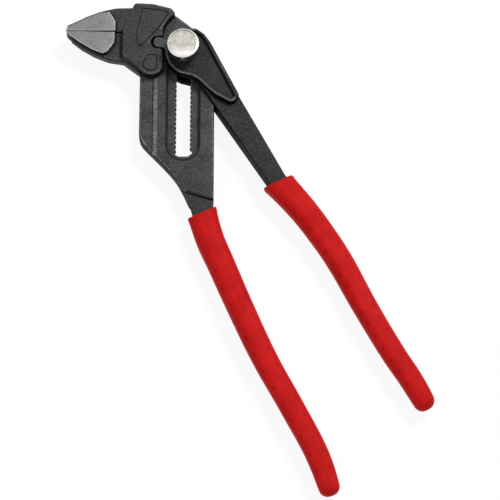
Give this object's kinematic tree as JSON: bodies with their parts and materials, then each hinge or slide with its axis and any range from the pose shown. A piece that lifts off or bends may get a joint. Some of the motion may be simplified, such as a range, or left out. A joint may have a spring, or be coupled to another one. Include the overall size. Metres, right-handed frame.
{
  "type": "pliers wrench",
  "caption": "Parallel-jaw pliers with smooth flat jaws, a toothed slide, a push button lock and dipped plastic grips.",
  "frame": {"origin": "on the plane of the tool's back face, under the axis of the joint pin", "axes": "+Z from the back face out through the push button; +Y along the rack towards the fixed jaw; -X towards the tips of the jaws"},
  "size_m": [0.1658, 0.2321, 0.0229],
  "materials": {
    "forged_steel": "black phosphated and oiled steel, satin",
    "red_dip": "dipped soft plastic, satin",
    "plated_steel": "dull nickel plate",
    "spring_steel": "drawn wire",
    "pin_steel": "hardened and ground"
  },
  "bodies": {
    "slotted_side": {"slotted_handle": "forged_steel", "slotted_handle_grip": "red_dip"},
    "carriage": {"spring_washer": "spring_steel", "button_spring": "spring_steel"},
    "lever_side": {"lever_handle": "forged_steel", "lever_handle_grip": "red_dip"},
    "jaw": {"sliding_jaw": "forged_steel"},
    "pin": {"toothed_pin": "pin_steel", "push_button": "plated_steel"}
  },
  "joints": [
    {"name": "adjust", "type": "slide", "parent": "slotted_side", "child": "carriage", "axis": [0, -1, 0], "range_m": [0, 0.04194]},
    {"name": "lever_squeeze", "type": "hinge", "parent": "carriage", "child": "lever_side", "pos_m": [0, 0, 0.0075], "axis": [0, 0, 1], "range_deg": [0, 30]},
    {"name": "jaw_follow", "type": "slide", "parent": "carriage", "child": "jaw", "axis": [0, -1, 0], "range_m": [0, 0.00621]},
    {"name": "button_press", "type": "slide", "parent": "carriage", "child": "pin", "axis": [0, 0, -1], "range_m": [0, 0.0032], "stiffness_N_per_m": 2000, "deforming": ["button_spring"]}
  ],
  "couplings": [
    {"joint": "jaw_follow", "follows": "lever_squeeze", "m_per_rad": 0.011854}
  ]
}
